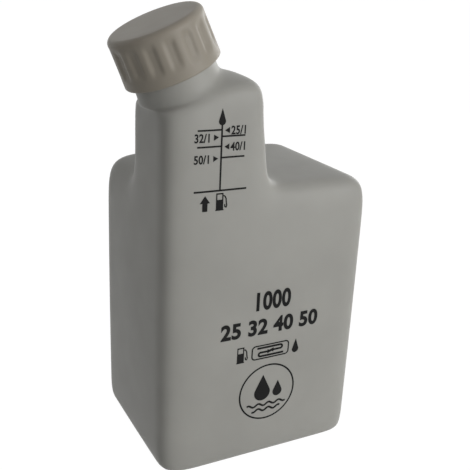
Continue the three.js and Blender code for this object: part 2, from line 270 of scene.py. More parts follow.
# %% Sizes of the shell, in millimetres
CAN_WIDTH = 101.0
CAN_DEPTH = 82.3
SHOULDER_HEIGHT = 136.5
BACK_DRAFT = 1.5
FACE_SWELL = 1.5
SHELL_WALL = 1.4
PUSH_UP = 1.6
TOWER_WIDTH = 44.8
TOWER_DEPTH = 43.6
TOWER_FLARE = 4.0
TOWER_RIGHT_HEIGHT = 182.0
TOWER_LEFT_HEIGHT = 170.0
CORNER_REACH = 24.0
BACK_CORNER_REACH = 14.4
RIGHT_FRONT_REACH = 15.0
BASE_EDGE_REACH = 12.0
SHOULDER_EDGE_REACH = 22.0
TOWER_ROOT_REACH = 15.0
TOWER_BACK_ROOT_REACH = 11.25
TOWER_CORNER_REACH = 12.0
TOWER_TOP_REACH = 15.0
print("can:", CAN_WIDTH, "by", CAN_DEPTH, "mm, tower up to", TOWER_RIGHT_HEIGHT, "mm")

# %% [markdown]
# The cage is a stack of blocks on a grid. Can and tower could be two boxes joined by a boolean, but
# that leaves a ragged seam just where the real shell is smoothest. On one grid they share their
# points, and a skin further in is the same grid with its faces moved inwards. The faces of a blown
# can bow out a little, most in their middle.

# %% Points of the cage
TOWER_CELLS = 3
SHOULDER_ROW = 4
TOWER_UPPER_ROW = 6
TOWER_TOP_ROW = 7
LAST_LINE = 6


def cage_lines(inset):
    """Where the cage's lines cross the width, the depth and the height, for a skin that lies inset."""
    across = [inset, CORNER_REACH, TOWER_WIDTH - TOWER_CORNER_REACH, TOWER_WIDTH - inset,
              TOWER_WIDTH + TOWER_ROOT_REACH, CAN_WIDTH - RIGHT_FRONT_REACH, CAN_WIDTH - inset]
    deep = [inset, TOWER_CORNER_REACH, TOWER_DEPTH - TOWER_CORNER_REACH, TOWER_DEPTH - inset,
            TOWER_DEPTH + TOWER_BACK_ROOT_REACH, CAN_DEPTH - BACK_CORNER_REACH, CAN_DEPTH - inset]
    floor = PUSH_UP + inset if inset > 0 else 0
    up = [floor, BASE_EDGE_REACH, SHOULDER_HEIGHT / 2, SHOULDER_HEIGHT - SHOULDER_EDGE_REACH,
          SHOULDER_HEIGHT - inset, SHOULDER_HEIGHT + TOWER_ROOT_REACH]
    return across, deep, up


def swell(i, j, point):
    """How far a blown face bows outwards at a cage point, most in its middle."""
    def bow(value, size):
        return 1 - (2 * value / size - 1) ** 2

    height = max(0.0, bow(point.z, SHOULDER_HEIGHT))
    move = Vector((0, 0, 0))
    if j in (0, LAST_LINE):
        move.y = (-1 if j == 0 else 1) * FACE_SWELL * bow(point.x, CAN_WIDTH) * height
    if i in (0, LAST_LINE):
        move.x = (-1 if i == 0 else 1) * FACE_SWELL * bow(point.y, CAN_DEPTH) * height
    return move


def cage_point(lines, i, j, k, inset):
    across, deep, up = lines
    x, y = across[i], deep[j]
    share = min(max(x / TOWER_WIDTH, 0), 1)
    top = TOWER_LEFT_HEIGHT + (TOWER_RIGHT_HEIGHT - TOWER_LEFT_HEIGHT) * share - inset
    if k == TOWER_TOP_ROW:
        return Vector((x, y, top))
    if k == TOWER_UPPER_ROW:
        return Vector((x, y, top - TOWER_TOP_REACH))
    z = up[k]
    point = Vector((x, y, z))
    if j == LAST_LINE:
        point.y -= BACK_DRAFT * (1 - z / SHOULDER_HEIGHT)
    if i == TOWER_CELLS:
        fall = (TOWER_RIGHT_HEIGHT - z) / (TOWER_RIGHT_HEIGHT - SHOULDER_HEIGHT)
        point.x += TOWER_FLARE * min(max(fall, 0), 1)
    return point + swell(i, j, point)


print("grid lines of the outer skin:", [[round(v, 1) for v in run] for run in cage_lines(0)])

# %% [markdown]
# The neck grows out of the tower's sloping top, whose square of twelve points has to become a
# circle. A tube stuck into the tower would leave a crease. Here each ring of the neck has twelve
# points as well, one for each point of the square, so that the smoothing turns square into round.

# %% Rings of the neck
NECK_RADIUS = 17.6
NECK_WALL = 1.4
NECK_ROOT_DROP = 9.0
NECK_ROOT_BEND = 4.95
NECK_ROOT_FLARE = 1.0
NECK_INSIDE_CAP = 1.4
NECK_EDGE = 1.0
INNER_STEP_FROM = 4.4
INNER_STEP_TO = 2.4
FINISH_RADIUS = 16.5
MOUTH_RADIUS = 14.4
LIP_RADIUS = (FINISH_RADIUS + MOUTH_RADIUS) / 2
MOUTH_HEIGHT = 17.4
LIP_EDGE = 1.0
FIRST_RING_ANGLE = 1.25 * pi

# A smoothed ring of twelve points runs this share of their radius from its centre.
SPLINE_CIRCLE = (4 + 2 * cos(pi / 6)) / 6

OUTER_RINGS = [
    (-NECK_ROOT_DROP, NECK_RADIUS + NECK_ROOT_FLARE), (-NECK_ROOT_BEND, NECK_RADIUS),
    (NECK_INSIDE_CAP - NECK_EDGE, NECK_RADIUS), (NECK_INSIDE_CAP, NECK_RADIUS),
    (NECK_INSIDE_CAP, FINISH_RADIUS), (NECK_INSIDE_CAP + NECK_EDGE, FINISH_RADIUS),
    (MOUTH_HEIGHT - LIP_EDGE, FINISH_RADIUS), (MOUTH_HEIGHT, FINISH_RADIUS),
    (MOUTH_HEIGHT, LIP_RADIUS),
]
INNER_RINGS = [
    (-NECK_ROOT_DROP - SHELL_WALL, NECK_RADIUS - NECK_WALL),
    (-NECK_ROOT_BEND - SHELL_WALL, NECK_RADIUS - NECK_WALL),
    (NECK_INSIDE_CAP - INNER_STEP_FROM, NECK_RADIUS - NECK_WALL),
    (NECK_INSIDE_CAP - INNER_STEP_TO, MOUTH_RADIUS), (NECK_INSIDE_CAP - NECK_EDGE, MOUTH_RADIUS),
    (MOUTH_HEIGHT - LIP_EDGE, MOUTH_RADIUS), (MOUTH_HEIGHT, MOUTH_RADIUS),
]

neck_to_can = can_to_frame.inverted() @ neck_to_frame


def tower_loop():
    """The twelve cage points round the tower's top, anticlockwise from above."""
    cells = range(TOWER_CELLS)
    return ([(s, 0) for s in cells] + [(TOWER_CELLS, s) for s in cells]
            + [(TOWER_CELLS - s, TOWER_CELLS) for s in cells] + [(0, TOWER_CELLS - s) for s in cells])


def neck_point(step, height, radius):
    angle = FIRST_RING_ANGLE + step * pi / 6
    reach = radius / SPLINE_CIRCLE
    return neck_to_can @ Vector((reach * cos(angle), reach * sin(angle), height))


print("neck:", len(OUTER_RINGS), "rings outside and", len(INNER_RINGS), "inside")

# %% [markdown]
# A skin is every side of a block that no other block covers, and the bands of quads between the
# neck's rings. Listing those faces by hand would take pages and hide mistakes. Asking each block
# for its open sides gives the same faces for the outer skin and for the inner one.

# %% Skins of the shell
def open_sides(i, j, k, filled):
    """The sides of a filled block that no other block covers, apart from the tower's top."""
    sides = [
        ((-1, 0, 0), [(0, 0, 0), (0, 0, 1), (0, 1, 1), (0, 1, 0)]),
        ((1, 0, 0), [(1, 0, 0), (1, 1, 0), (1, 1, 1), (1, 0, 1)]),
        ((0, -1, 0), [(0, 0, 0), (1, 0, 0), (1, 0, 1), (0, 0, 1)]),
        ((0, 1, 0), [(0, 1, 0), (0, 1, 1), (1, 1, 1), (1, 1, 0)]),
        ((0, 0, -1), [(0, 0, 0), (0, 1, 0), (1, 1, 0), (1, 0, 0)]),
        ((0, 0, 1), [(0, 0, 1), (1, 0, 1), (1, 1, 1), (0, 1, 1)]),
    ]
    found = []
    for (di, dj, dk), corners in sides:
        tower_top = dk == 1 and k + 1 == TOWER_TOP_ROW
        if not tower_top and not filled(i + di, j + dj, k + dk):
            found.append([(i + a, j + b, k + c) for a, b, c in corners])
    return found


def skin_cage(inset, rings):
    """One skin of the shell: the blocks, and rings (height, radius) that lead up the neck."""
    lines = cage_lines(inset)
    cells = len(lines[0]) - 1
    points, faces, known = [], [], {}

    def filled(i, j, k):
        if min(i, j, k) < 0 or max(i, j) >= cells or k >= TOWER_TOP_ROW:
            return False
        return k < SHOULDER_ROW or max(i, j) < TOWER_CELLS

    def index(key, make):
        if key not in known:
            known[key] = len(points)
            points.append(make())
        return known[key]

    def grid(i, j, k):
        return index((i, j, k), lambda: cage_point(lines, i, j, k, inset))

    for i in range(cells):
        for j in range(cells):
            for k in range(TOWER_TOP_ROW):
                if filled(i, j, k):
                    faces += [[grid(*at) for at in side] for side in open_sides(i, j, k, filled)]
    loop = tower_loop()
    below = [grid(i, j, TOWER_TOP_ROW) for i, j in loop]
    for number, (height, radius) in enumerate(rings):
        ring = [index(("ring", number, s), lambda s=s: neck_point(s, height, radius))
                for s in range(len(loop))]
        for s in range(len(loop)):
            after = (s + 1) % len(loop)
            faces.append([below[s], below[after], ring[after], ring[s]])
        below = ring
    return points, faces, below


print("a skin has", len(skin_cage(0, OUTER_RINGS)[1]), "quads")

# %% [markdown]
# The shell is both skins, the inner one turned inside out, joined round the lip of the mouth. A
# Solidify modifier could give the wall, but not the thicker lip and the step inside the neck.
# Three levels of subdivision then round everything off, as the blowing did.

# %% Blown shell
SHELL_LEVELS = 3


def shell_cage():
    """The outer and the inner skin, joined round the lip of the mouth."""
    points, faces, rim = skin_cage(0, OUTER_RINGS)
    more, inner_faces, inner_rim = skin_cage(SHELL_WALL, INNER_RINGS)
    start = len(points)
    points += more
    faces += [[start + n for n in reversed(face)] for face in inner_faces]
    inner_rim = [start + n for n in inner_rim]
    for s in range(len(rim)):
        after = (s + 1) % len(rim)
        faces.append([rim[s], rim[after], inner_rim[after], inner_rim[s]])
    return points, faces


cage_points, cage_faces = shell_cage()
shell = plain_object("shell", cage_points, cage_faces, can_to_frame)
smoothing = shell.modifiers.new("smoothing", "SUBSURF")
smoothing.levels = SHELL_LEVELS
smoothing.render_levels = SHELL_LEVELS
settle(shell)
print("shell:", triangles(shell), "triangles")

# %% [markdown]
# The blown skin has a push-up: the middle of its base is raised, so that the can stands on a flat
# ring and doesn't rock. It could be modelled in the cage, but that would soften the ring, so the
# points of the base that lie well inside the edge are simply lifted after the smoothing.

# %% Push-up of the base
STANDING_RING = 18.0
PUSH_UP_SLOPE = 5.0
OUTER_BASE_LIMIT = 0.3


def smooth_step(value, low, high):
    share = min(max((value - low) / (high - low), 0), 1)
    return share * share * (3 - 2 * share)


def lift_base(made):
    lifted = 0
    for vertex in made.data.vertices:
        x, y, z = (vertex.co - can_corner) / MM
        inside = min(x, CAN_WIDTH - x, y, CAN_DEPTH - y) - STANDING_RING
        if z < OUTER_BASE_LIMIT and inside > 0:
            vertex.co.z += PUSH_UP * MM * smooth_step(inside, 0, PUSH_UP_SLOPE)
            lifted += 1
    return lifted


print("base points lifted:", lift_base(shell))
shade_smooth(shell)
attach(shell, "bottle")
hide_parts("bottle")

# %% [markdown]
# Where the mould closed on the tube of hot plastic, it left a pinch-off line across the base. It
# is a low welded rib, hidden inside the push-up. A bar with a half-round section and tapered ends
# gives it, made point by point because it is so small.

# %% Pinch-off line under the base
PINCH_LENGTH = 52.0
PINCH_WIDTH = 1.6
PINCH_HEIGHT = 0.7
PINCH_STATIONS = 24
PINCH_SIDES = 10
PINCH_END = 0.08
PINCH_TAPER = 0.4


def pinch_line():
    points, faces = [], []
    for station in range(PINCH_STATIONS + 1):
        share = station / PINCH_STATIONS
        size = max(PINCH_END, sin(pi * share)) ** PINCH_TAPER
        x = CAN_WIDTH / 2 + PINCH_LENGTH * (share - 0.5)
        for side in range(PINCH_SIDES):
            angle = 2 * pi * side / PINCH_SIDES
            y = CAN_DEPTH / 2 + PINCH_WIDTH / 2 * size * cos(angle)
            points.append((x, y, PUSH_UP + PINCH_HEIGHT * size * sin(angle)))
    for station in range(PINCH_STATIONS):
        for side in range(PINCH_SIDES):
            here, after = station * PINCH_SIDES, (side + 1) % PINCH_SIDES
            ahead = here + PINCH_SIDES
            faces.append((here + side, here + after, ahead + after, ahead + side))
    last = PINCH_STATIONS * PINCH_SIDES
    faces.append(tuple(reversed(range(PINCH_SIDES))))
    faces.append(tuple(range(last, last + PINCH_SIDES)))
    return plain_object("pinch_line", points, faces, can_to_frame)


pinch = face_outwards(pinch_line())
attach(pinch, "bottle")
print("pinch-off line:", triangles(pinch), "triangles")

# %% [markdown]
# Geometry Nodes make what follows a rule, and wiring a tree by mouse can't be read back in a script.
# Every tree here has the same frame: named inputs for its sizes, a material input, and at its end
# Realize Instances and Set Material. The helpers below build that frame and shorten the wiring.

# %% Helpers for Geometry Nodes
class Tree:
    """A Geometry Nodes tree with named inputs, and short ways to add and wire its nodes."""

    def __init__(self, name, sizes):
        self.group = bpy.data.node_groups.new(name, "GeometryNodeTree")
        face = self.group.interface
        face.new_socket(name="Geometry", in_out="INPUT", socket_type="NodeSocketGeometry")
        self.names = {}
        for label, kind in sizes:
            socket = face.new_socket(name=label, in_out="INPUT", socket_type="NodeSocket" + kind)
            self.names[label] = socket.identifier
        face.new_socket(name="Geometry", in_out="OUTPUT", socket_type="NodeSocketGeometry")
        self.enter = self.group.nodes.new("NodeGroupInput")
        self.leave = self.group.nodes.new("NodeGroupOutput")

    def node(self, kind, values=(), **settings):
        made = self.group.nodes.new(kind)
        for key, value in settings.items():
            setattr(made, key, value)
        for socket, value in values:
            self.put(value, made.inputs[socket])
        return made

    def put(self, value, socket):
        """Wire a socket or a node's first output into a socket, or set a plain value on it."""
        if isinstance(value, bpy.types.Node):
            value = value.outputs[0]
        if isinstance(value, bpy.types.NodeSocket):
            self.group.links.new(value, socket)
        else:
            socket.default_value = value

    def math(self, operation, *values):
        return self.node("ShaderNodeMath", enumerate(values), operation=operation).outputs[0]

    def ramp(self, value, low, high):
        """A smooth step from 0 at low to 1 at high."""
        made = self.node("ShaderNodeMapRange", interpolation_type="SMOOTHSTEP")
        for label, given in (("Value", value), ("From Min", low), ("From Max", high)):
            self.put(given, made.inputs[label])
        return made.outputs["Result"]

    def size(self, label):
        return self.enter.outputs[label]

    def end(self, geometry):
        """Close the tree as the export needs it: real mesh, with its material."""
        real = self.node("GeometryNodeRealizeInstances", [(0, geometry)])
        inputs = [("Geometry", real), ("Material", self.size("Material"))]
        finish = self.node("GeometryNodeSetMaterial", inputs)
        self.put(finish, self.leave.inputs[0])


print("tree helpers: nodes, values, sums, ramps and the common end")

# %% [markdown]
# A finished tree is run once for each piece that needs it, with that piece's sizes. It could stay on
# as a live modifier, but the export drops what isn't real mesh. So the sizes are set by the sockets'
# identifiers, the result is read back, and the modifier goes.

# %% Running a tree
def grow(name, tree, values, start=None):
    """Run a tree on a mesh, or on nothing, and keep its result as plain mesh."""
    made = start or plain_object(name, [], [], Matrix())
    modifier = made.modifiers.new(name, "NODES")
    modifier.node_group = tree.group
    for label, value in values.items():
        modifier[tree.names[label]] = value
    made.update_tag()
    bpy.context.view_layer.update()
    return settle(made)


print("a piece is grown as plain mesh, with no modifier left")

# %% [markdown]
# The neck ends in a threaded finish, which shows when the cap comes off: two turns of a rounded
# ridge. A Screw modifier would give it too, but with blunt ends. In this tree a spiral curve carries
# a round section that shrinks towards both ends, as a moulded thread fades out, and the same tree
# gives the thread inside the cap.

# %% Thread tree
THREAD_PITCH = 4.0
THREAD_START = 4.0
THREAD_PHASE = radians(2.1)
THREAD_STEPS = 72
THREAD_SIDES = 10
THREAD_END = 0.1
THREAD_FADE = 0.08

thread_tree = Tree("thread", [("Radius", "Float"), ("Pitch", "Float"), ("Turns", "Float"),
                              ("Ridge", "Float"), ("Steps", "Int"), ("Material", "Material")])


def build_thread_tree(tree):
    rise = tree.math("MULTIPLY", tree.size("Pitch"), tree.size("Turns"))
    path = tree.node("GeometryNodeCurveSpiral", [
        ("Resolution", tree.size("Steps")), ("Rotations", tree.size("Turns")),
        ("Start Radius", tree.size("Radius")), ("End Radius", tree.size("Radius")), ("Height", rise),
    ])
    along = tree.node("GeometryNodeSplineParameter").outputs["Factor"]
    from_end = tree.math("MINIMUM", along, tree.math("SUBTRACT", 1.0, along))
    full = tree.ramp(from_end, 0.0, THREAD_FADE)
    fade = tree.math("ADD", THREAD_END, tree.math("MULTIPLY", 1 - THREAD_END, full))
    faded = tree.node("GeometryNodeSetCurveRadius", [("Curve", path), ("Radius", fade)])
    section = tree.node("GeometryNodeCurvePrimitiveCircle", [
        ("Resolution", THREAD_SIDES), ("Radius", tree.size("Ridge")),
    ])
    ridge = tree.node("GeometryNodeCurveToMesh", [
        ("Curve", faded), ("Profile Curve", section), ("Fill Caps", True),
    ])
    tree.end(ridge)


build_thread_tree(thread_tree)
print("thread tree:", len(thread_tree.group.nodes), "nodes")

# %% [markdown]
# No moulded plastic is quite even. An image of such a surface could be wrapped round each piece, but
# it would show seams and stretch at the corners. Noise on object coordinates runs through the whole
# piece like grain through wood, so it has neither.

# %% Noise and bumps
def noise(tree, where, scale, detail):
    made = tree.nodes.new("ShaderNodeTexNoise")
    made.inputs["Scale"].default_value = scale
    made.inputs["Detail"].default_value = detail
    tree.links.new(where.outputs["Object"], made.inputs["Vector"])
    return made.outputs["Fac"]


def add_bump(tree, height, distance, strength, below=None):
    bump = tree.nodes.new("ShaderNodeBump")
    bump.inputs["Strength"].default_value = strength
    bump.inputs["Distance"].default_value = distance
    tree.links.new(height, bump.inputs["Height"])
    if below is not None:
        tree.links.new(below, bump.inputs["Normal"])
    return bump.outputs["Normal"]


print("noise and bumps are ready for the plastics")

# %% [markdown]
# Natural polyethylene has no pigment: it is milky, slightly translucent and satin, and the cap is a
# warmer batch of it. A plain colour would look like paint. So each plastic gets a faint cloudiness,
# uneven gloss, a slow waviness from blowing and a very fine skin. A share of subsurface light gives
# the milkiness at less cost than real transparency would.

# %% Plastics
MILK_DEPTH = 0.004
MILK_TINT = (1.0, 0.95, 0.85)
CLOUD_SCALE = 30
CLOUD_STOPS = (0.3, 0.7)
GLOSS_SCALE = 90
GLOSS_SPREAD = 0.06
WAVE_SCALE = 45
WAVE_STRENGTH = 0.5
GRAIN_HEIGHT = 0.00003
GRAIN_STRENGTH = 0.3


def plastic(name, colour, roughness, specular, milkiness, grain, wave, mottle=0.05):
    """A satin plastic: grain is the scale of its fine skin, wave the height of its waviness."""
    material = bpy.data.materials.new(name)
    material.use_nodes = True
    tree = material.node_tree
    shader = tree.nodes["Principled BSDF"]
    shader.inputs["Specular IOR Level"].default_value = specular
    shader.inputs["Subsurface Weight"].default_value = milkiness
    shader.inputs["Subsurface Scale"].default_value = MILK_DEPTH
    shader.inputs["Subsurface Radius"].default_value = MILK_TINT
    where = tree.nodes.new("ShaderNodeTexCoord")
    tint = tree.nodes.new("ShaderNodeValToRGB")
    for stop, place, share in zip(tint.color_ramp.elements, CLOUD_STOPS, (1 - mottle, 1 + mottle)):
        stop.position = place
        stop.color = (*[c * share for c in colour], 1)
    tree.links.new(noise(tree, where, CLOUD_SCALE, 3), tint.inputs["Fac"])
    tree.links.new(tint.outputs["Color"], shader.inputs["Base Color"])
    gloss = tree.nodes.new("ShaderNodeMapRange")
    gloss.inputs["To Min"].default_value = roughness - GLOSS_SPREAD
    gloss.inputs["To Max"].default_value = roughness + GLOSS_SPREAD
    tree.links.new(noise(tree, where, GLOSS_SCALE, 2), gloss.inputs["Value"])
    tree.links.new(gloss.outputs["Result"], shader.inputs["Roughness"])
    slow = add_bump(tree, noise(tree, where, WAVE_SCALE, 1), wave, WAVE_STRENGTH)
    fine = add_bump(tree, noise(tree, where, grain, 3), GRAIN_HEIGHT, GRAIN_STRENGTH, slow)
    tree.links.new(fine, shader.inputs["Normal"])
    return material


natural = plastic("natural_polyethylene", colour=(0.315, 0.311, 0.288), roughness=0.46, specular=0.22,
                  milkiness=0.25, grain=1400, wave=0.00022)
warm = plastic("cap_polyethylene", colour=(0.258, 0.234, 0.194), roughness=0.44, specular=0.22,
               milkiness=0.25, grain=1400, wave=0.00012)
foam = plastic("sealing_foam", colour=(0.62, 0.61, 0.58), roughness=0.85, specular=0.2,
               milkiness=0.1, grain=2600, wave=0.0001)
ink = plastic("screen_ink", colour=(0.009, 0.009, 0.009), roughness=0.6, specular=0.08,
              milkiness=0.0, grain=2200, wave=0.0001, mottle=0.2)
shell.data.materials.append(natural)
pinch.data.materials.append(natural)
print("materials:", [m.name for m in (natural, warm, foam, ink)])

# %% [markdown]
# The blown neck carries a coarse thread, two turns of a low round ridge. It could be part of the
# cage, but the whole cage would then have to be as fine as the thread. So the thread tree lays it on
# as a piece of its own, half sunk into the neck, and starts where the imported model's thread starts.

# %% Thread of the neck
NECK_THREAD_TURNS = 2.0
NECK_THREAD_RIDGE = 1.05
neck_thread = grow("neck_thread", thread_tree, {
    "Radius": FINISH_RADIUS, "Pitch": THREAD_PITCH, "Turns": NECK_THREAD_TURNS,
    "Ridge": NECK_THREAD_RIDGE, "Steps": THREAD_STEPS, "Material": natural,
})
turn_and_lift = Matrix.Translation((0, 0, THREAD_START)) @ Matrix.Rotation(THREAD_PHASE, 4, "Z")
move_mesh(neck_thread, neck_to_frame @ turn_and_lift)
face_outwards(neck_thread)
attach(neck_thread, "bottle")
print("neck thread:", triangles(neck_thread), "triangles")

# %% [markdown]
# Broad grooves round the cap's side leave the ribs that a hand grips. They could be cut one by one,
# but the rule is short: how deep a groove is depends on the angle, and it fades out by height. A
# Geometry Nodes tree that moves points by that rule keeps every groove the same and soft-edged.

# %% Rib tree
GROOVE_EDGE = 0.95
rib_tree = Tree("ribs", [("Ribs", "Float"), ("Depth", "Float"), ("Lower", "Float"), ("Upper", "Float"),
                         ("Fade", "Float"), ("Skin radius", "Float"), ("Material", "Material")])


def build_rib_tree(tree):
    place = tree.node("GeometryNodeInputPosition")
    x, y, z = tree.node("ShaderNodeSeparateXYZ", [(0, place)]).outputs
    angle = tree.math("ARCTAN2", y, x)
    swing = tree.math("COSINE", tree.math("MULTIPLY", angle, tree.size("Ribs")))
    groove = tree.ramp(tree.math("MULTIPLY", swing, -1.0), -GROOVE_EDGE, GROOVE_EDGE)
    lower, upper, fade = (tree.size(label) for label in ("Lower", "Upper", "Fade"))
    rises = tree.ramp(z, lower, tree.math("ADD", lower, fade))
    falls = tree.ramp(z, tree.math("SUBTRACT", upper, fade), upper)
    band = tree.math("MULTIPLY", rises, tree.math("SUBTRACT", 1.0, falls))
    radius = tree.math("SQRT", tree.math("ADD", tree.math("MULTIPLY", x, x), tree.math("MULTIPLY", y, y)))
    outside = tree.math("GREATER_THAN", radius, tree.size("Skin radius"))
    depth = tree.math("MULTIPLY", tree.math("MULTIPLY", groove, band), tree.size("Depth"))
    inward = tree.math("MULTIPLY", tree.math("MULTIPLY", depth, outside), -1.0)
    share = tree.math("DIVIDE", inward, radius)
    move = tree.node("ShaderNodeCombineXYZ", [
        (0, tree.math("MULTIPLY", x, share)), (1, tree.math("MULTIPLY", y, share)), (2, 0.0),
    ])
    pressed = tree.node("GeometryNodeSetPosition", [("Geometry", tree.size("Geometry")), ("Offset", move)])
    tree.end(pressed)


build_rib_tree(rib_tree)
print("rib tree:", len(rib_tree.group.nodes), "nodes")

# %% [markdown]
# Cap and disc are both round. A cylinder with bevels could stand for each of them, but a profile
# drawn once and turned about the axis, as a toolmaker cuts a round mould, holds every radius, wall
# and step in one short list.

# %% Turned pieces
def arc(centre_radius, centre_height, radius, start, end, steps):
    """Profile points (radius, height) on an arc, with its angles in degrees."""
    points = []
    for step in range(steps + 1):
        angle = radians(start + (end - start) * step / steps)
        points.append((centre_radius + radius * cos(angle), centre_height + radius * sin(angle)))
    return points


def line(start, end, steps):
    """Profile points along a straight stretch, its two ends left out."""
    return [(start[0] + (end[0] - start[0]) * s / steps, start[1] + (end[1] - start[1]) * s / steps)
            for s in range(1, steps)]


def turned(name, profile, steps):
    """A closed solid from a profile that starts and ends on the axis."""
    points = [(0, 0, profile[0][1])]
    faces = []
    rings = profile[1:-1]
    for radius, height in rings:
        for step in range(steps):
            angle = 2 * pi * step / steps
            points.append((radius * cos(angle), radius * sin(angle), height))
    tip = len(points)
    points.append((0, 0, profile[-1][1]))
    for step in range(steps):
        after = (step + 1) % steps
        faces.append((0, 1 + after, 1 + step))
        for ring in range(len(rings) - 1):
            here = 1 + ring * steps
            faces.append((here + step, here + after, here + steps + after, here + steps + step))
        last = 1 + (len(rings) - 1) * steps
        faces.append((last + step, last + after, tip))
    return plain_object(name, points, faces, Matrix())


print("turning helpers: arc, line and the turned solid")

# %% [markdown]
# The cap is a moulded cup: a flat top, a rounded rim, a plain band at the foot, and inside it hollow
# up to the seat of the disc. It could be pressed from a subdivided cylinder, but its ribs need even
# columns of faces. So its profile is turned with enough steps for each rib, and the rib tree then
# presses the grooves.

# %% Cap
CAP_HEIGHT = 21.0
CAP_RADIUS = 20.2
CAP_INNER_RADIUS = 18.05
CAP_DRAFT = 0.55
CAP_TOP_EDGE = 2.6
CAP_TOP_WALL = 1.8
CAP_TOP_RINGS = (0.6, 0.3)
CAP_RIM_EDGE = 0.6
CAP_INNER_EDGE = 0.8
CAP_SIDE_STEPS = 34
CAP_SKIN_MARGIN = 0.01
RIB_COUNT = 16
RIB_DEPTH = 0.8
RIB_FADE = 4.2
RIB_LOWER = 3.6
RIB_TOP_BAND = 2.5
STEPS_PER_RIB = 22

# The chamfer that leads the cap onto the neck: how far outside the inner wall, and how high.
CAP_LEAD_IN = [(0, 0.8), (0.3, 0.1), (0.5, 0)]


def cap_side(height):
    return CAP_RADIUS + CAP_DRAFT * (1 - height / CAP_HEIGHT)


def cap_profile():
    ceiling = CAP_HEIGHT - CAP_TOP_WALL
    inner_edge = ceiling - CAP_INNER_EDGE
    rim = cap_side(0) - CAP_RIM_EDGE
    top_edge = CAP_HEIGHT - CAP_TOP_EDGE
    top_side = cap_side(top_edge)
    profile = [(0, ceiling), (CAP_INNER_RADIUS / 2, ceiling)]
    profile += arc(CAP_INNER_RADIUS - CAP_INNER_EDGE, inner_edge, CAP_INNER_EDGE, 90, 0, 4)
    profile += line((CAP_INNER_RADIUS, inner_edge), (CAP_INNER_RADIUS, CAP_LEAD_IN[0][1]), 6)
    profile += [(CAP_INNER_RADIUS + out, height) for out, height in CAP_LEAD_IN]
    profile += arc(rim, CAP_RIM_EDGE, CAP_RIM_EDGE, 270, 360, 5)
    profile += line((cap_side(CAP_RIM_EDGE), CAP_RIM_EDGE), (top_side, top_edge), CAP_SIDE_STEPS)
    profile += arc(top_side - CAP_TOP_EDGE, top_edge, CAP_TOP_EDGE, 0, 90, 10)
    profile += [(CAP_RADIUS * share, CAP_HEIGHT) for share in CAP_TOP_RINGS]
    return profile + [(0, CAP_HEIGHT)]


cap = turned("ribbed_cap", cap_profile(), RIB_COUNT * STEPS_PER_RIB)
grow("ribbed_cap", rib_tree, {
    "Ribs": float(RIB_COUNT), "Depth": RIB_DEPTH, "Lower": RIB_LOWER,
    "Upper": CAP_HEIGHT - RIB_TOP_BAND, "Fade": RIB_FADE,
    "Skin radius": CAP_RADIUS - CAP_SKIN_MARGIN, "Material": warm,
}, start=cap)
move_mesh(cap, neck_to_frame)
face_outwards(cap)
shade_smooth(cap)
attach(cap, "cap")
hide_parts("cap")
print("cap:", triangles(cap), "triangles")

# %% [markdown]
# The cap screws down on the neck's thread, so it has the matching one inside. It could be drawn
# again from the inside, but then the two pitches might differ. The same tree grows it on the cap's
# inner wall, half a turn round from the neck's.

# %% Thread inside the cap
CAP_THREAD_TURNS = 1.5
CAP_THREAD_RIDGE = 0.85
cap_thread = grow("cap_thread", thread_tree, {
    "Radius": CAP_INNER_RADIUS, "Pitch": THREAD_PITCH, "Turns": CAP_THREAD_TURNS,
    "Ridge": CAP_THREAD_RIDGE, "Steps": THREAD_STEPS, "Material": warm,
})
half_turn = Matrix.Translation((0, 0, THREAD_START)) @ Matrix.Rotation(pi + THREAD_PHASE, 4, "Z")
move_mesh(cap_thread, neck_to_frame @ half_turn)
face_outwards(cap_thread)
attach(cap_thread, "cap")
print("cap thread:", triangles(cap_thread), "triangles")

# %% [markdown]
# The sealing disc lies loose in the cap and closes the mouth. A plain cylinder would do from a
# distance. Turning its profile adds what wear and punching leave on a real one: a ring printed into
# its lower face by the neck's lip, and slightly rounded edges.

# %% Sealing disc
DISC_CLEARANCE = 0.3
DISC_SIDE_CLEARANCE = 0.5
DISC_TOP = CAP_HEIGHT - CAP_TOP_WALL - DISC_CLEARANCE
DISC_THICKNESS = 1.2
DISC_RADIUS = CAP_INNER_RADIUS - DISC_SIDE_CLEARANCE
DISC_EDGE = 0.2
DISC_STEPS = 96
LIP_MARK_DEPTH = 0.15
LIP_MARK_REACH = 0.8
LIP_MARK_FOOT = 1.2


def disc_profile():
    bottom = DISC_TOP - DISC_THICKNESS
    pressed = bottom + LIP_MARK_DEPTH
    profile = [(0, bottom), (LIP_RADIUS / 2, bottom), (LIP_RADIUS - LIP_MARK_FOOT, bottom)]
    profile += [(LIP_RADIUS - LIP_MARK_REACH, pressed), (LIP_RADIUS + LIP_MARK_REACH, pressed)]
    profile += [(LIP_RADIUS + LIP_MARK_FOOT, bottom)]
    profile += arc(DISC_RADIUS - DISC_EDGE, bottom + DISC_EDGE, DISC_EDGE, 270, 360, 4)
    profile += arc(DISC_RADIUS - DISC_EDGE, DISC_TOP - DISC_EDGE, DISC_EDGE, 0, 90, 4)
    return profile + [(DISC_RADIUS / 2, DISC_TOP), (0, DISC_TOP)]


disc = turned("sealing_disc", disc_profile(), DISC_STEPS)
disc.data.materials.append(foam)
move_mesh(disc, neck_to_frame)
face_outwards(disc)
shade_smooth(disc)
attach(disc, "seal")
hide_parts("cap_liner")
print("sealing disc:", triangles(disc), "triangles")

# %% [markdown]
# The marks are screen-printed in black on the tower and the front face. A picture of them would
# blur and stretch, so each mark is drawn as a flat outline in millimetres on the face (across, up)
# and then laid on the bowed skin as a thin film of ink with real edges.

# %% Flat marks
def bar(x0, z0, x1, z1):
    return [(x0, z0), (x1, z0), (x1, z1), (x0, z1)]


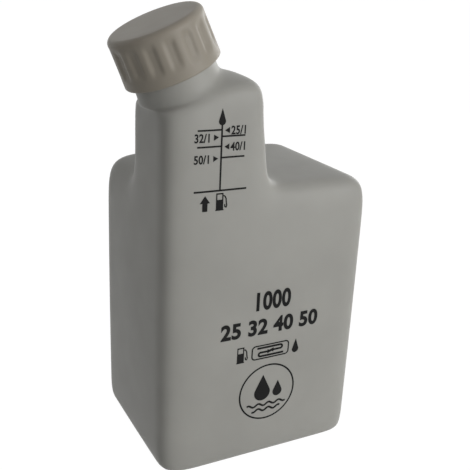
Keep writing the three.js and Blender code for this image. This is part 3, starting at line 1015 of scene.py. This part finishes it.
def round_points(x, z, radius, steps=48, start=0.0, end=360.0):
    """Points on a circle or, with other angles, on an arc."""
    whole = abs(end - start) >= 360
    count = steps if whole else steps + 1
    angles = [radians(start + (end - start) * s / steps) for s in range(count)]
    return [(x + radius * cos(a), z + radius * sin(a)) for a in angles]


def round_bar(x0, z0, x1, z1, radius):
    corners = [(x1 - radius, z1 - radius, 0), (x0 + radius, z1 - radius, 90),
               (x0 + radius, z0 + radius, 180), (x1 - radius, z0 + radius, 270)]
    return [p for x, z, turn in corners for p in round_points(x, z, radius, 6, turn, turn + 90)]


def drop_shape(x, tip, foot, radius):
    """A falling drop: a round foot with two straight flanks up to its tip."""
    centre = foot + radius
    flank = atan2(radius, tip - centre) * 180 / pi
    return round_points(x, centre, radius, 28, 180 - flank, 360 + flank) + [(x, tip)]


def stroke(points, width):
    """The outline of a line of the given width through the points."""
    left, right = [], []
    for index, (x, z) in enumerate(points):
        x0, z0 = points[max(index - 1, 0)]
        x1, z1 = points[min(index + 1, len(points) - 1)]
        length = hypot(x1 - x0, z1 - z0)
        nx, nz = -(z1 - z0) / length * width / 2, (x1 - x0) / length * width / 2
        left.append((x + nx, z + nz))
        right.append((x - nx, z - nz))
    return left + right[::-1]


print("a drop has", len(drop_shape(0, 6, 0, 1.5)), "points")

# %% [markdown]
# An outline becomes a mark when it is filled. Its faces could be cut by hand, but a flat curve fills
# itself, and leaves a hole wherever one outline lies inside another. Numerals come from Blender's
# own font, which is a flat curve as well, so both go through the same few lines.

# %% Filled outlines and numerals
def flat_mesh(data):
    """Turn a flat curve or text into points and faces in millimetres, and remove it."""
    made = bpy.data.objects.new(data.name, data)
    bpy.context.scene.collection.objects.link(made)
    depsgraph = bpy.context.evaluated_depsgraph_get()
    mesh = bpy.data.meshes.new_from_object(made.evaluated_get(depsgraph))
    points = [(v.co.x, v.co.y) for v in mesh.vertices]
    faces = [tuple(f.vertices) for f in mesh.polygons]
    bpy.data.objects.remove(made)
    return points, faces


def filled(loops):
    """Faces between closed outlines: a loop inside another is a hole in it."""
    curve = bpy.data.curves.new("outline", "CURVE")
    curve.dimensions = "2D"
    curve.fill_mode = "BOTH"
    for loop in loops:
        spline = curve.splines.new("POLY")
        spline.points.add(len(loop) - 1)
        for point, (x, z) in zip(spline.points, loop):
            point.co = (x, z, 0, 1)
        spline.use_cyclic_u = True
    return flat_mesh(curve)


# The height of a numeral in Blender's own font, as a share of the font's size.
NUMERAL_SHARE = 0.72


def numerals(body, x, z, height, weight, squeeze, align="LEFT"):
    """Plain numerals whose foot stands at (x, z)."""
    text = bpy.data.curves.new("numerals", "FONT")
    text.body = body
    text.size = height / NUMERAL_SHARE
    text.offset = weight
    text.space_character = 1 + weight / height
    text.align_x = align
    text.fill_mode = "BOTH"
    points, faces = flat_mesh(text)
    return [(x + px * squeeze, z + pz) for px, pz in points], faces


print("numerals stand", NUMERAL_SHARE, "of their font's size high")

# %% [markdown]
# Ink lies on the skin, and the skin is bowed. A decal floating in front of it would show at the
# corners. So every point of a mark is dropped onto the skin along a ray, and this helper says how
# deep the skin lies behind the drawing's front plane.

# %% Skin under the ink
RAY_START = -20.0

shell_tree = BVHTree.FromPolygons([v.co for v in shell.data.vertices],
                                  [tuple(f.vertices) for f in shell.data.polygons])


def skin_depth(x, z):
    """How far behind the drawing's front plane the skin lies at a point of the face."""
    start = can_to_frame @ Vector((x, RAY_START, z))
    hit = shell_tree.ray_cast(start, Vector((0, 1, 0)))[0]
    return (can_to_frame.inverted() @ hit).y


print("the skin's depth at the middle of the face:", round(skin_depth(CAN_WIDTH / 2, 60), 2), "mm")

# %% [markdown]
# A mark is cut into small faces, so that it can follow the bow, and gets a front just proud of the
# skin and a back just inside it. A Solidify modifier could do that, but not with each side at its
# own depth. The film is a closed solid, so it exports like any other piece.

# %% Ink pieces
INK_FILM = 0.06
INK_ROOT = 0.25
INK_CELL = 3.0
INK_MERGE = 0.002
CUT_ROUNDS = 6


def cut_small(points, faces):
    work = bmesh.new()
    corners = [work.verts.new((x, 0, z)) for x, z in points]
    for face in faces:
        work.faces.new([corners[n] for n in face])
    bmesh.ops.remove_doubles(work, verts=work.verts, dist=INK_MERGE)
    bmesh.ops.triangulate(work, faces=work.faces)
    for _ in range(CUT_ROUNDS):
        long_edges = [e for e in work.edges if e.calc_length() > INK_CELL]
        if not long_edges:
            break
        bmesh.ops.subdivide_edges(work, edges=long_edges, cuts=1)
        bmesh.ops.triangulate(work, faces=work.faces)
    return work


def ink_piece(name, marks):
    """One piece of print from many flat marks, each a pair of points and faces."""
    all_points, all_faces = [], []
    for points, faces in marks:
        work = cut_small(points, faces)
        work.verts.index_update()
        flat = [(v.co.x, v.co.z) for v in work.verts]
        depth = [skin_depth(x, z) for x, z in flat]
        start, count = len(all_points), len(flat)
        all_points += [(x, y - INK_FILM, z) for (x, z), y in zip(flat, depth)]
        all_points += [(x, y + INK_ROOT, z) for (x, z), y in zip(flat, depth)]
        for face in work.faces:
            corners = [start + v.index for v in face.verts]
            all_faces.append(corners)
            all_faces.append([n + count for n in reversed(corners)])
        for edge in work.edges:
            if edge.is_boundary:
                loop = edge.link_loops[0]
                a, b = start + loop.vert.index, start + loop.link_loop_next.vert.index
                all_faces.append([b, a, a + count, b + count])
        work.free()
    made = face_outwards(plain_object(name, all_points, all_faces, can_to_frame))
    made.data.materials.append(ink)
    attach(made, "bottle")
    print(name + ":", len(marks), "marks,", triangles(made), "triangles")
    return made


print("ink film:", INK_FILM, "mm proud of the skin, laid in cells of up to", INK_CELL, "mm")

# %% [markdown]
# The ratio scale stands on the tower. Fuel goes in up to the base line, and oil on top of it up to
# the line of the wanted ratio. The ticks stand where the photograph has them, so in this tower they
# measure somewhat more oil than one part in 50, 40, 32 and 25. Each mark could be drawn on its own,
# but a loop over the four ratios keeps them alike. Each number has a small pointer towards its tick.

# %% Ratio scale
SCALE_X = 23.6
SCALE_BASE = 137.4
SCALE_TOP = 165.0
SCALE_LINE = 0.76
BASE_LINE_ENDS = (12.0, 35.8)
TICK_LINE = 0.7
TICK_LENGTH = 10.6
TICK_GAP = 0.3
NUMERAL_HEIGHT = 3.5
NUMERAL_WEIGHT = 0.12
NUMERAL_SQUEEZE = 0.82
NUMERAL_EDGE = 12.0
NUMERAL_GAP = 0.6
POINTER_NEAR = 1.3
POINTER_FAR = 3.5
POINTER_HALF = 1.25

# Each ratio, the height of its tick, and the side of the axis that the tick is on.
TICKS = [("50/1", 151.2, 1), ("40/1", 155.9, -1), ("32/1", 159.9, 1), ("25/1", 162.6, -1)]


def tick_marks(label, height, side):
    """A tick on one side of the axis, and its number and pointer on the other side."""
    thick = TICK_LINE / 2
    ends = sorted((SCALE_X, SCALE_X + side * TICK_LENGTH))
    tick = filled([bar(ends[0], height - thick, ends[1], height + thick)])
    below = height - TICK_GAP
    tip, foot = SCALE_X - side * POINTER_NEAR, SCALE_X - side * POINTER_FAR
    pointer = filled([[(tip, below), (foot, below + POINTER_HALF), (foot, below - POINTER_HALF)]])
    left = SCALE_X - NUMERAL_EDGE if side > 0 else SCALE_X + POINTER_FAR + NUMERAL_GAP
    number = numerals(label, left, below - NUMERAL_HEIGHT / 2, NUMERAL_HEIGHT, NUMERAL_WEIGHT,
                      NUMERAL_SQUEEZE)
    return [tick, pointer, number]


def scale_marks():
    """The base line, the axis with a drop at its tip, and the four ticks."""
    half = SCALE_LINE / 2
    left, right = BASE_LINE_ENDS
    marks = [
        filled([bar(left, SCALE_BASE - half, right, SCALE_BASE + half)]),
        filled([bar(SCALE_X - half, SCALE_BASE, SCALE_X + half, SCALE_TOP)]),
        filled([drop_shape(SCALE_X, tip=171.2, foot=164.4, radius=1.55)]),
    ]
    for tick in TICKS:
        marks += tick_marks(*tick)
    return marks


ink_piece("ratio_scale", scale_marks())

# %% [markdown]
# Below the base line stand two plain signs: an arrow that says how far the fuel goes, and a fuel
# pump. The pump is a box with a window, a foot and a hose. It could be one long outline, but three
# simple ones in shares of its height let it be used again lower down at another size.

# %% Fill signs
ARROW_NECK = 0.52
PUMP_WIDTH = 0.44
PUMP_FOOT = 0.06
PUMP_FOOT_REACH = 0.03
PUMP_FRAME = 0.07
PUMP_WINDOW = (0.62, 0.92)
PUMP_HOSE_LINE = 0.075

# The hose, from the pump's shoulder down and back up, in shares of the pump's width and height.
PUMP_HOSE = [(1.02, 0.84), (1.22, 0.80), (1.38, 0.66), (1.42, 0.46),
             (1.50, 0.26), (1.40, 0.15), (1.26, 0.18), (1.20, 0.34)]


def arrow_up(x, foot, tip, half_head, half_stem):
    neck = foot + (tip - foot) * ARROW_NECK
    return [(x - half_stem, foot), (x + half_stem, foot), (x + half_stem, neck), (x + half_head, neck),
            (x, tip), (x - half_head, neck), (x - half_stem, neck)]


def pump(x, z, height):
    """A fuel pump in a space of the given height, its lower left corner at (x, z)."""
    right = x + height * PUMP_WIDTH
    frame_line = height * PUMP_FRAME
    sill, lintel = (z + height * share for share in PUMP_WINDOW)
    top_of_foot = z + height * PUMP_FOOT
    reach = height * PUMP_FOOT_REACH
    body = [bar(x, top_of_foot, right, z + height), bar(x + frame_line, sill, right - frame_line, lintel)]
    foot = [bar(x - reach, z, right + reach, top_of_foot)]
    hose = [(x + height * PUMP_WIDTH * across, z + height * up) for across, up in PUMP_HOSE]
    return [filled(body), filled(foot), filled([stroke(hose, height * PUMP_HOSE_LINE)])]


fill_arrow = arrow_up(17.0, foot=128.9, tip=135.6, half_head=2.3, half_stem=1.15)
ink_piece("fill_signs", [filled([fill_arrow])] + pump(22.0, 128.8, height=7.5))

# %% [markdown]
# The lower half of the face carries a panel of plain numbers: the fill in millilitres, and the four
# ratios. They could be drawn stroke by stroke, but Blender's own font has even numerals. Made a
# little bolder and narrower, they look like the numerals of a screen print.

# %% Number panel
PANEL_MIDDLE = 51.6
ink_piece("number_panel", [
    numerals("1000", PANEL_MIDDLE, 80.0, height=8.6, weight=0.42, squeeze=0.78, align="CENTER"),
    numerals("25 32 40 50", PANEL_MIDDLE, 67.9, height=7.4, weight=0.4, squeeze=0.96, align="CENTER"),
])

# %% [markdown]
# Under the numbers a row of signs says what the bottle does: fuel, a shaking motion in a rounded
# frame, and oil. Four outlines could be drawn, but the two arrows in the frame are one shape, turned
# by half a turn for the other, and the pump is the one from above.

# %% Sign row
FRAME_BOX = (42.4, 54.6, 62.2, 62.0)
FRAME_CORNER = 2.0
FRAME_LINE = 0.65
SHAKE_LINE = 1.0
SHAKE_HEAD = [(1.6, 1.25), (1.6, -0.85), (-1.2, 0.2)]


def sign_frame():
    x0, z0, x1, z1 = FRAME_BOX
    t = FRAME_LINE
    outer = round_bar(x0, z0, x1, z1, FRAME_CORNER)
    return filled([outer, round_bar(x0 + t, z0 + t, x1 - t, z1 - t, FRAME_CORNER - t)])


def shake_arrow(turned_over):
    """A line that goes out, bends back and ends in an arrow head."""
    cx, cz = (FRAME_BOX[0] + FRAME_BOX[2]) / 2, (FRAME_BOX[1] + FRAME_BOX[3]) / 2
    bend = round_points(5.2, 1.15, 0.95, 10, 60, -90)
    path = [(-7.0, 2.1), (5.2, 2.1)] + bend + [(1.4, 0.2)]
    flip = -1 if turned_over else 1
    loops = [stroke(path, SHAKE_LINE), SHAKE_HEAD]
    return [filled([[(cx + flip * x, cz + flip * z) for x, z in loop]]) for loop in loops]


oil_drop = filled([drop_shape(65.8, tip=61.8, foot=54.5, radius=1.75)])
ink_piece("sign_row", pump(35.0, 54.6, height=8.0) + [sign_frame()] + shake_arrow(False)
          + shake_arrow(True) + [oil_drop])

# %% [markdown]
# The round sign at the foot of the panel is a plain picture of mixing: a large drop and a small one
# over two waves, inside a ring. The waves could be drawn as curves, but a sine with a pen's width
# gives them from two numbers each.

# %% Round sign
SIGN_X = 52.0
SIGN_Z = 36.4
SIGN_RADIUS = 14.8
SIGN_LINE = 0.8
SIGN_STEPS = 96
WAVE_SWING = 0.7
WAVE_RATE = 1.15
WAVE_LINE = 1.0
WAVE_STEPS = 24


def wave(z, half_width):
    xs = [SIGN_X + half_width * (2 * s / WAVE_STEPS - 1) for s in range(WAVE_STEPS + 1)]
    return stroke([(x, z + WAVE_SWING * sin((x - SIGN_X) * WAVE_RATE)) for x in xs], WAVE_LINE)


def ring_sign():
    ring = [round_points(SIGN_X, SIGN_Z, radius, SIGN_STEPS)
            for radius in (SIGN_RADIUS, SIGN_RADIUS - SIGN_LINE)]
    large = drop_shape(SIGN_X - 2.6, tip=SIGN_Z + 9.6, foot=SIGN_Z - 4.2, radius=4.2)
    small = drop_shape(SIGN_X + 5.6, tip=SIGN_Z + 5.0, foot=SIGN_Z - 3.4, radius=2.5)
    upper_wave = wave(SIGN_Z - 6.6, half_width=10.4)
    lower_wave = wave(SIGN_Z - 9.4, half_width=7.6)
    return [filled(ring)] + [filled([loop]) for loop in (large, small, upper_wave, lower_wave)]


ink_piece("round_sign", ring_sign())
